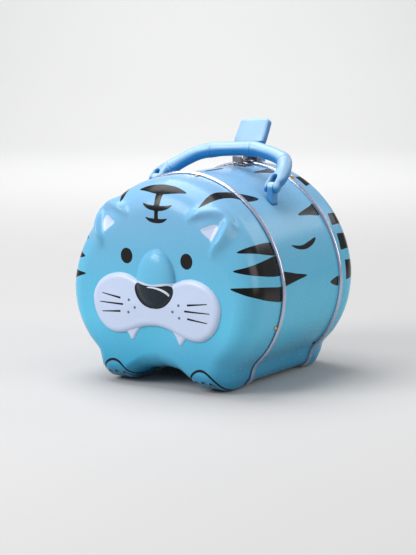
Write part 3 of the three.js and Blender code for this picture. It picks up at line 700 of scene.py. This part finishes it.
def stroke(tree, flat, start, end):
    """Distance inside a tapering line: its half-width less the distance to the segment."""
    begin = (start[0] * MM, 0, start[1] * MM)
    run = ((end[0] - start[0]) * MM, 0, (end[1] - start[1]) * MM)
    moved = vectors(tree, "SUBTRACT", flat, begin)
    ahead = vectors(tree, "DOT_PRODUCT", moved, run, out="Value")
    share = spread(tree, maths(tree, "DIVIDE", ahead, run[0] ** 2 + run[2] ** 2), 0, 1)
    on_line = add(tree, "ShaderNodeVectorMath", {0: run, "Scale": share}, operation="SCALE").outputs[0]
    gap = vectors(tree, "LENGTH", vectors(tree, "SUBTRACT", moved, on_line), out="Value")
    half_width = spread(tree, share, 0, 1, WHISKER_ROOT, WHISKER_TIP)
    return maths(tree, "SUBTRACT", half_width, maths(tree, "MULTIPLY", gap, 1 / MM))


def drawn_face(tree, place, base):
    """Eyes, whiskers, muzzle dots and the paws' outlines, the same on both sides."""
    parts = add(tree, "ShaderNodeSeparateXYZ", {"Vector": place}).outputs
    side = maths(tree, "ABSOLUTE", parts["X"])
    flat = add(tree, "ShaderNodeCombineXYZ", {"X": side, "Z": parts["Z"]}).outputs[0]
    forward = spread(tree, parts["Y"], -0.052, -0.056)  # the drawing stops behind the face
    dark = oval(tree, flat, *EYE)
    for start, end in WHISKERS:
        dark = maths(tree, "MAXIMUM", dark, stroke(tree, flat, start, end))
    dots = oval(tree, flat, DOTS[0], DOT_RADII)
    for centre in DOTS[1:]:
        dots = maths(tree, "MAXIMUM", dots, oval(tree, flat, centre, DOT_RADII))
    for shape in [PAW, *TOES]:
        to_outline = maths(tree, "ABSOLUTE", oval(tree, flat, *shape))
        line = maths(tree, "SUBTRACT", TOE_LINE if shape in TOES else PAW_LINE, to_outline)
        if shape in TOES:
            line = maths(tree, "MINIMUM", line, oval(tree, flat, *PAW))
        dark = maths(tree, "MAXIMUM", dark, line)
    outer = maths(tree, "SUBTRACT", 1.0, attribute(tree, "bare"))
    mask = maths(tree, "MULTIPLY", maths(tree, "MULTIPLY", print_edge(tree, dark), forward), outer)
    grey = maths(tree, "MULTIPLY", print_edge(tree, dots), outer)
    return mix(tree, mask, mix(tree, grey, base, hue(84, 100, 112)), INK)


front_layers = [("cream", CREAM), ("pad_edge", hue(5, 6, 8)), ("pad", hue(24, 36, 44)),
                ("glint", hue(206, 214, 226)), ("ink", INK)]
front_print = printed_tin("front_print", front_layers, drawn_face)
front_cap = closed_surface("face_cap", np.concatenate([face[::-1], cap_inner]), front_print,
                           marks=both_faces(front_marks, face, cap_inner))
fit(front_cap, "body", "front_print", "front_cap")

# ---- Rear cap, the lid ----
# Drawn like the front cap but plain, with a shallow panel pressed into its back. It pulls off
# backwards with its sleeve, the tail and the hinge half of the hasp.
# Blocks of the lid, as the way from the crown and the distance from the cap's edge.
REAR_STRIPES = [
    [(41, 11), (41.6, 30), (47, 48), (50.6, 30), (54.8, 10)],
    [(86, 8.6), (86.4, 26), (91, 44), (96.6, 26), (97.2, 6)],
    [(105, 7.6), (106, 28), (112.6, 48), (118.8, 28), (119.6, 5.8)],
    [(128.4, 9), (129.6, 28), (137, 50), (144.4, 28), (145.4, 8.6)],
]
BACK_DEPTH = 38
BACK_ROWS = (14, 34, 60)
PANEL_DEPTH = 1.2


def rear_wall(up, down):
    """Depth of the wall, which is half as deep again over the crown."""
    return 12 + 6 * up


def rear_shoulder(up):
    """Width of the shoulder, the same all round."""
    return 24 + 0 * up


def press_panel(rows, counts, start, end):
    """Sinks the plane of a cap behind an S-curved step, given as shares of the way to its centre."""
    inwards = np.linspace(0, 1, counts[2] + 1)[1:]
    rows[counts[0] + counts[1]:, :, 1] -= PANEL_DEPTH * smooth(start, end, inwards)[:, None]


back = cap_rows(REAR_SEAM, 1, BACK_DEPTH, rear_wall, rear_shoulder, BACK_ROWS)
back_way = way_down(back)
press_panel(back, BACK_ROWS, 0.1, 0.17)
back_inner = cap_rows(REAR_SEAM, 1, BACK_DEPTH, rear_wall, rear_shoulder, INNER_ROWS, -SHEET)
press_panel(back_inner, INNER_ROWS, 0.0, 0.2)
back_s = np.broadcast_to(abs(way), back.shape[:2])


def blocks(u, v, shapes):
    """Stripes with their corners kept: straight sides between the points."""
    ink = np.full(u.shape, UNPRINTED)
    for shape in shapes:
        ink = np.maximum(ink, inside(u, v, np.array(shape, float)))
    return ink


back_ink = blocks(back_s, back_way, REAR_STRIPES)
rear_print = printed_tin("rear_print", [("ink", INK)])
rear_cap = closed_surface(
    "lid_cap",
    np.concatenate([back[::-1], back_inner]),
    rear_print,
    marks=both_faces({"ink": back_ink}, back, back_inner),
)
fit(rear_cap, "rear_lid", "rear_print", "rear_cap")

# ---- Seam liners ----
# Bare tin sleeves. The front one is riveted inside the face cap and stays; the rear one belongs to
# the lid and plugs into the band.
bare_tin, tree, shader, place = new_material("bare_tin", 0.34, 0.95)
streak = add(tree, "ShaderNodeMapping", {"Vector": place, "Scale": (400, 30, 400)}).outputs[0]
tone = mix(tree, noise(tree, streak, 3, 4), hue(160, 165, 176), hue(200, 204, 212))
tree.links.new(tone, shader.inputs["Base Color"])
tree.links.new(spread(tree, noise(tree, streak, 5, 3), 0.3, 0.7, 0.26, 0.46), shader.inputs["Roughness"])
bump(tree, shader, noise(tree, streak, 6, 2), 0.00002)
COLLAR_SHEET = 0.8
LEAD = 0.4  # chamfer round each edge of a liner
COLLARS = {
    "front_collar": ("body", FRONT_SEAM - 12, FRONT_SEAM + 12),
    "rear_collar": ("rear_lid", REAR_SEAM - 9, REAR_SEAM + 11.5),
}
for node, (body, start, end) in COLLARS.items():
    outer = -SHEET - GAP
    inner = outer - COLLAR_SHEET
    offsets = [inner + LEAD, outer - LEAD, outer, outer, outer - LEAD, inner + LEAD, inner, inner]
    places = [start, start, start + LEAD, end - LEAD, end, end, end - LEAD, start + LEAD]
    liner = closed_surface(node + "_sleeve", ring(offsets, places), bare_tin, wrap=True)
    fit(liner, body, "bare_tin", node)

# ---- Rivets and studs ----
# Brass rivets with domed heads hold the liners; two small studs sit low on the band, coloured near
# black as painted shade, and steel rivets hold the two halves of the hasp.


def metal(name, light, dark, roughness, scratch):
    """Plated metal: two tones by a fine noise, and hairline scratches in its roughness and bump."""
    material, tree, shader, place = new_material(name, roughness, 1.0)
    tone = mix(tree, noise(tree, place, 300, 5), dark, light)
    tree.links.new(tone, shader.inputs["Base Color"])
    lines = add(tree, "ShaderNodeMapping", {"Vector": place, "Scale": (3000, 240, 900)}).outputs[0]
    hair = noise(tree, lines, 1, 4)
    rough = spread(tree, hair, 0.3, 0.75, roughness * 0.7, roughness * 1.5)
    tree.links.new(rough, shader.inputs["Roughness"])
    bump(tree, shader, hair, 0.000012 * scratch)
    return material


brass = metal("brass", hue(222, 184, 104), hue(176, 130, 62), 0.24, 1)
steel = metal("steel", hue(206, 208, 214), hue(160, 162, 170), 0.3, 1.5)
# Painted shade: the two band studs are coloured near black for the shadow that they sit in.
dark_steel = metal("dark_steel", hue(74, 72, 70), hue(40, 38, 40), 0.4, 1)
hasp_steel = metal("hasp_steel", hue(158, 158, 164), hue(104, 104, 112), 0.2, 2)


def turned(name, profile, origin, axis, material, around=40):
    """A profile of radius and height turned about an axis through a point."""
    axis = np.array(axis, float) / np.linalg.norm(axis)
    across = np.cross(axis, (0, 1, 0) if abs(axis[1]) < 0.9 else (1, 0, 0))
    across /= np.linalg.norm(across)
    third = np.cross(axis, across)
    turn = np.linspace(0, 2 * math.pi, around, endpoint=False)
    circle = np.cos(turn)[:, None] * across + np.sin(turn)[:, None] * third
    radius, height = np.array(profile, float).T
    rows = np.array(origin) + radius[:, None, None] * circle + height[:, None, None] * axis
    return closed_surface(name, rows, material)


def wall_spot(degrees):
    """Point and normal of the wall where a ray from the waist at an angle from the crown meets it."""
    angle = np.arctan2(wall[:, 0], wall[:, 1] - WAIST_Z)
    k = int(np.argmin(abs(angle - math.radians(degrees))))
    return wall[k], wall_normal[k]


SHANK = 1
FLANGE = 1.7
TIP = 0.2  # radius of a profile's last ring before it closes on the axis


def rivet_profile(head, rise, deep, flanged=True):
    """Inner flange, shank and a domed head: the dome is an elliptic arc that starts upright. A stud
    has no flange and ends level with the inner face."""
    dome = np.radians(np.linspace(4, 88, 12))
    flange = [(TIP, deep - 1), (FLANGE, deep - 1), (FLANGE, deep)] if flanged else [(TIP, deep)]
    domed = np.stack([head * np.cos(dome), GAP + rise * np.sin(dome)], 1)
    return [*flange, (SHANK, deep), (SHANK, GAP), (head, GAP), *domed]


THROUGH_LINER = -SHEET - COLLAR_SHEET - 2 * GAP
FRONT_RIVET = (FRONT_SEAM - 4.4, "body", brass, "brass", (1.8, 1.3, THROUGH_LINER))
BAND_STUD = (REAR_SEAM - 3.6, "body", dark_steel, "dark_steel", (1.5, 0.9, -SHEET, False))
REAR_RIVET = (REAR_SEAM + 5, "rear_lid", brass, "brass", (2.1, 3.2, THROUGH_LINER))
WALL_RIVETS = {
    "front_rivet_top": (6.5, FRONT_RIVET),
    "front_rivet_right": (107, FRONT_RIVET),
    "front_rivet_left": (-107, FRONT_RIVET),
    "band_stud_right": (129, BAND_STUD),
    "band_stud_left": (-129, BAND_STUD),
    "rear_rivet_right": (26, REAR_RIVET),
    "rear_rivet_left": (-26, REAR_RIVET),
    "rear_rivet_belly": (174, REAR_RIVET),
}
for node, (degrees, (y, body, material, slot, sizes)) in WALL_RIVETS.items():
    point, normal = wall_spot(degrees)
    rivet = turned(node + "_head", rivet_profile(*sizes), (point[0], y, point[1]),
                   (normal[0], 0, normal[1]), material)
    fit(rivet, body, slot, node)

PLATE_TOP = CROWN_Z + GAP + 1.05
BELOW_PLATE = -4.2  # where a hasp rivet's inner flange begins, measured from the plate's top
HASP_RIVETS = {
    "catch_rivet_right": (5.7, 42.5, "body", 1.7, 0.9),
    "catch_rivet_left": (-5.7, 42.5, "body", 1.7, 0.9),
    "hinge_rivet_right": (4.5, 63.2, "rear_lid", 1.5, 0.8),
    "hinge_rivet_left": (-4.5, 63.2, "rear_lid", 1.5, 0.8),
}
for node, (x, y, body, head, rise) in HASP_RIVETS.items():
    rivet = turned(node + "_head", rivet_profile(head, rise, BELOW_PLATE), (x, y, PLATE_TOP),
                   (0, 0, 1), steel)
    fit(rivet, body, "steel", node)

# ---- Handle ----
# Moulded in one piece to look like a cane: it swells at each joint and is creased round it. The grip
# stands higher on the right, and each end is a fork that straddles its lug.
PIVOT_X = 58.5
PIVOT_Z = 162
LEAN = math.radians(45.6)
GRIP = [(58.5, 0), (58.8, 5), (61, 11.5), (61, 20), (56.5, 29.2), (47, 34), (35, 37.4), (22, 39.7),
        (2, 38.5), (-17, 36), (-30.5, 31.2), (-41, 23), (-50, 13.6), (-56.5, 6.6), (-58.5, 0)]
CREASES = (21.5, -17.5, 57.2, -51)
GRIP_RADIUS = 6.1
FORK_HALF_WIDTH = 6.8
FORK_HALF_DEPTH = 4.9
PRONG_LENGTH = 4.6
FORK_OPENING = 3.3
FORK_TOPS = ((1, 11), (-1, 7.5))
plastic, tree, shader, place = new_material(
    "handle_plastic", 0.36, 0.0, Coat_Weight=0.12, Coat_Roughness=0.2, Subsurface_Weight=0.1,
    Subsurface_Scale=0.004
)
shader.inputs["Subsurface Radius"].default_value = (0.6, 0.9, 1.0)
# Painted shade: the plastic deepens to turquoise where its surface faces down, by its normal in its own
# frame.
facing = add(tree, "ShaderNodeSeparateXYZ", {
    "Vector": tree.nodes["Texture Coordinate"].outputs["Normal"]}).outputs["Z"]
body_tone = mix(tree, noise(tree, place, 60, 3), hue(132, 172, 208), hue(142, 180, 212))
tone = mix(tree, spread(tree, facing, 0.45, -0.1), body_tone, hue(0, 112, 172))
tree.links.new(tone, shader.inputs["Base Color"])
tree.links.new(spread(tree, noise(tree, place, 500, 4), 0.3, 0.7, 0.3, 0.44), shader.inputs["Roughness"])
bump(tree, shader, noise(tree, place, 2200, 2), 0.00002)

path = curve_through(GRIP, 22)
length = np.r_[0, np.cumsum(np.linalg.norm(np.diff(path, axis=0), axis=1))]
stations = np.linspace(0, length[-1], 380)
path = np.stack([np.interp(stations, length, path[:, k]) for k in (0, 1)], 1)
run = np.gradient(path, axis=0)
run /= np.linalg.norm(run, axis=1)[:, None]
left_of = np.stack([-run[:, 1], run[:, 0]], 1)
crease_at = [stations[np.argmin(np.where(path[:, 1] > 12, abs(path[:, 0] - x), 99))] for x in CREASES]
# At each joint the radius grows by a broad bell curve and is cut back by a narrow one.
swell = sum(0.55 * np.exp(-(((stations - at) / 6) ** 2)) for at in crease_at)
crease = sum(0.5 * np.exp(-(((stations - at) / 0.45) ** 2)) for at in crease_at)
# Towards each end the round section passes into the fork's squared one.
leg = np.maximum(smooth(20, 7, stations), smooth(length[-1] - 13, length[-1] - 5, stations))
radius = GRIP_RADIUS + swell - crease
half_across = radius * (1 - leg) + FORK_HALF_WIDTH * leg
half_deep = radius * (1 - leg) + FORK_HALF_DEPTH * leg
turn = np.linspace(0, 2 * math.pi, 56, endpoint=False)
squared = (1 - 0.35 * leg)[:, None]
cosine, sine = np.cos(turn)[None], np.sin(turn)[None]
across = np.sign(cosine) * abs(cosine) ** squared * half_across[:, None]
deep = np.sign(sine) * abs(sine) ** squared * half_deep[:, None]
body_rows = np.stack([
    path[:, :1] + across * left_of[:, :1],
    deep,
    path[:, 1:] + across * left_of[:, 1:],
], -1)


def round_end(first):
    """Rounds off a fork below its pivot: the section sinks while its depth follows a circle."""
    angle = np.radians(np.linspace(8, 86, 12))[:, None]
    centre = first.mean(0)
    x = centre[0] + (first[:, 0] - centre[0]) * (1 - 0.25 * (1 - np.cos(angle)))
    y = first[:, 1] * np.cos(angle)
    return np.stack([x, y, -PRONG_LENGTH * np.sin(angle) + 0 * x], -1)


rows = np.concatenate([round_end(body_rows[0])[::-1], body_rows, round_end(body_rows[-1])])


def leaned(rows):
    """The handle's own frame turned back about the pivots and set at their height."""
    x, y, z = rows[..., 0], rows[..., 1], rows[..., 2]
    back_y = y * math.cos(LEAN) + z * math.sin(LEAN)
    up_z = z * math.cos(LEAN) - y * math.sin(LEAN)
    return np.stack([x, back_y, PIVOT_Z + up_z], -1)


handle = closed_surface("cane_handle", leaned(rows), plastic)
# The opening of each fork is cut out with a prism under a round arch.
for side, top in FORK_TOPS:
    arch = np.radians(np.linspace(0, 180, 13))
    arch_x, arch_z = FORK_OPENING * np.cos(arch), top - FORK_OPENING + FORK_OPENING * np.sin(arch)
    edge = np.stack([np.r_[arch_x[0], arch_x, arch_x[-1]], np.r_[-9, arch_z, -9]], 1)
    depth = np.array([-10, 10])[:, None]
    prism = np.stack([side * PIVOT_X + edge[:, 0] + 0 * depth, depth + 0 * edge[:, 0],
                      edge[:, 1] + 0 * depth], -1)
    cutter = closed_surface("fork_cut", leaned(prism), plastic)
    slot_cut = handle.modifiers.new("fork", "BOOLEAN")
    slot_cut.operation = "DIFFERENCE"
    slot_cut.object = cutter
    bpy.context.view_layer.update()
    evaluated = handle.evaluated_get(bpy.context.evaluated_depsgraph_get())
    cut_mesh = bpy.data.meshes.new_from_object(evaluated)
    handle.modifiers.clear()
    handle.data = cut_mesh
    bpy.data.objects.remove(cutter)
handle.data.name = "cane_handle"
fit(handle, "handle", "handle_plastic", "carry_handle")
for node in ("handle_pin_right", "handle_pin_left"):
    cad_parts[node].material_slots[0].material = steel

# ---- Handle lugs ----
# A moulded tongue on each side of the crown, its foot shaped to the wall, drawn down by a screw
# from inside. The fork turns on a pin through it.


def wall_height(x):
    """Height of the upper half of the wall at a distance from the middle."""
    upper = wall[wall[:, 1] > WAIST_Z + 1]
    upper = upper[np.argsort(upper[:, 0])]
    return np.interp(x, upper[:, 0], upper[:, 1])


LUG_HALF_WIDTH = 3.0
LUG_HALF_DEPTH = 4.75
LUG_RADIUS = 4.8
LUG_SQUARENESS = 0.35


for side, name in ((1, "right"), (-1, "left")):
    turn = np.linspace(0, 2 * math.pi, 64, endpoint=False)
    x = LUG_HALF_WIDTH * np.sign(np.cos(turn)) * abs(np.cos(turn)) ** LUG_SQUARENESS
    y = LUG_HALF_DEPTH * np.sign(np.sin(turn)) * abs(np.sin(turn)) ** LUG_SQUARENESS
    share = np.linspace(0.04, 1, 12)
    foot = np.stack([np.outer(share, x), np.outer(share, y)], -1)
    foot_z = wall_height(side * PIVOT_X + foot[..., 0]) + GAP
    arch_z = PIVOT_Z + np.sqrt(np.clip(LUG_RADIUS**2 - foot[..., 1] ** 2, 0, None))
    ease = 0.5 * (1 - np.sqrt(np.clip(1 - (foot[..., 0] / (LUG_HALF_WIDTH + 0.05)) ** 4, 0, 1)))
    up = np.linspace(0, 1, 10)[1:-1, None]
    side_z = foot_z[-1] + (arch_z[-1] - ease[-1] - foot_z[-1]) * up
    side_xy = np.broadcast_to(foot[-1], (len(up), len(turn), 2))
    lower = np.concatenate([foot, foot_z[..., None]], -1)
    middle = np.concatenate([side_xy, side_z[..., None]], -1)
    upper = np.concatenate([foot, (arch_z - ease)[..., None]], -1)[::-1]
    lug_rows = np.concatenate([lower, middle, upper])
    lug_rows[..., 0] += side * PIVOT_X
    lug = closed_surface("lug_tongue_" + name, lug_rows, plastic)
    fit(lug, "body", "handle_plastic", "handle_lug_" + name)
    for node in ("lug_screw_" + name, "lug_washer_" + name):
        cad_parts[node].material_slots[0].material = steel

# ---- Hasp ----
# Pressed and plated steel: a catch plate with its staple on the band, a slotted tongue with a
# turned-up finger tab, and a hinge base on the lid. Every edge is broken in the press.


def eased(node, width, material):
    """A copy of a CAD piece with its corners rounded by a bevel."""
    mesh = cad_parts[node].data.copy()
    piece = bpy.data.objects.new(node + "_pressed", mesh)
    bpy.context.scene.collection.objects.link(piece)
    mesh.materials.clear()
    mesh.materials.append(material)
    weld = piece.modifiers.new("weld", "WELD")
    weld.merge_threshold = 0.00001
    flat = piece.modifiers.new("flat", "DECIMATE")
    flat.decimate_type = "DISSOLVE"
    flat.angle_limit = math.radians(2)
    edge = piece.modifiers.new("edge", "BEVEL")
    edge.width = width * MM
    edge.segments = 3
    edge.limit_method = "ANGLE"
    edge.angle_limit = math.radians(40)
    bpy.context.view_layer.update()
    evaluated = piece.evaluated_get(bpy.context.evaluated_depsgraph_get())
    made = bpy.data.meshes.new_from_object(evaluated)
    piece.modifiers.clear()
    piece.data = made
    return piece


BROKEN_EDGE = 0.22
for node, body in (("catch_plate", "body"), ("latch_tongue", "latch"), ("hinge_base", "rear_lid")):
    fit(eased(node, BROKEN_EDGE, hasp_steel), body, "hasp_steel", node)
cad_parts["hinge_pin"].material_slots[0].material = steel

# ---- Tail ----
# A moulded slab on a bent neck and a round foot, drawn down by a screw from inside the lid. It
# leans back and is turned a little, so that its right side stands higher.
TAIL = np.array([
    # y, z, tilt, half width, half thickness, squareness
    (72, 174.1, 0, 5.8, 5.8, 1),
    (72, 176, 0, 5.5, 5.3, 1),
    (70.5, 180.5, -35, 5.4, 4.6, 1),
    (65, 186, -30, 8, 4.2, 0.7),
    (57.9, 190.3, 10, 14.2, 3.8, 0.42),
    (58.5, 194, 31, 15.2, 4, 0.36),
    (63.7, 202.4, 31, 14.8, 4.3, 0.36),
    (67.2, 208, 31, 14.4, 4.4, 0.36),
])
spine = curve_through(TAIL, 14)
ROUNDING = 2.4
TAIL_ROLL = math.radians(4.3)
# The top edge is rounded over by a quarter circle.
rim = np.radians(np.linspace(10, 84, 9))
top = np.repeat(TAIL[-1:], len(rim), 0)
top[:, 0] += 1.5 * np.sin(rim)
top[:, 1] += ROUNDING * np.sin(rim)
top[:, 3] -= ROUNDING * 1.2 * (1 - np.cos(rim))
top[:, 4] -= ROUNDING * (1 - np.cos(rim))
spine = np.concatenate([spine, top])
turn = np.linspace(0, 2 * math.pi, 72, endpoint=False)
power = spine[:, 5:]
wide = spine[:, 3:4] * np.sign(np.cos(turn)) * abs(np.cos(turn)) ** power
thick = spine[:, 4:5] * np.sign(np.sin(turn)) * abs(np.sin(turn)) ** power
lean = np.radians(spine[:, 2:3])
roll = TAIL_ROLL * smooth(180, 192, spine[:, 1:2])
tail_rows = np.stack([
    wide * np.cos(roll),
    spine[:, :1] + thick * np.cos(lean),
    spine[:, 1:2] - thick * np.sin(lean) + wide * np.sin(roll),
], -1)
# The tail takes a copy of the handle's plastic, and its painted underside shade with it.
tail_plastic = plastic.copy()
tail_plastic.name = "tail_plastic"
tail = closed_surface("tail_slab", tail_rows, tail_plastic)
fit(tail, "rear_lid", "tail_plastic", "tail")
for node in ("tail_screw", "tail_washer"):
    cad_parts[node].material_slots[0].material = steel
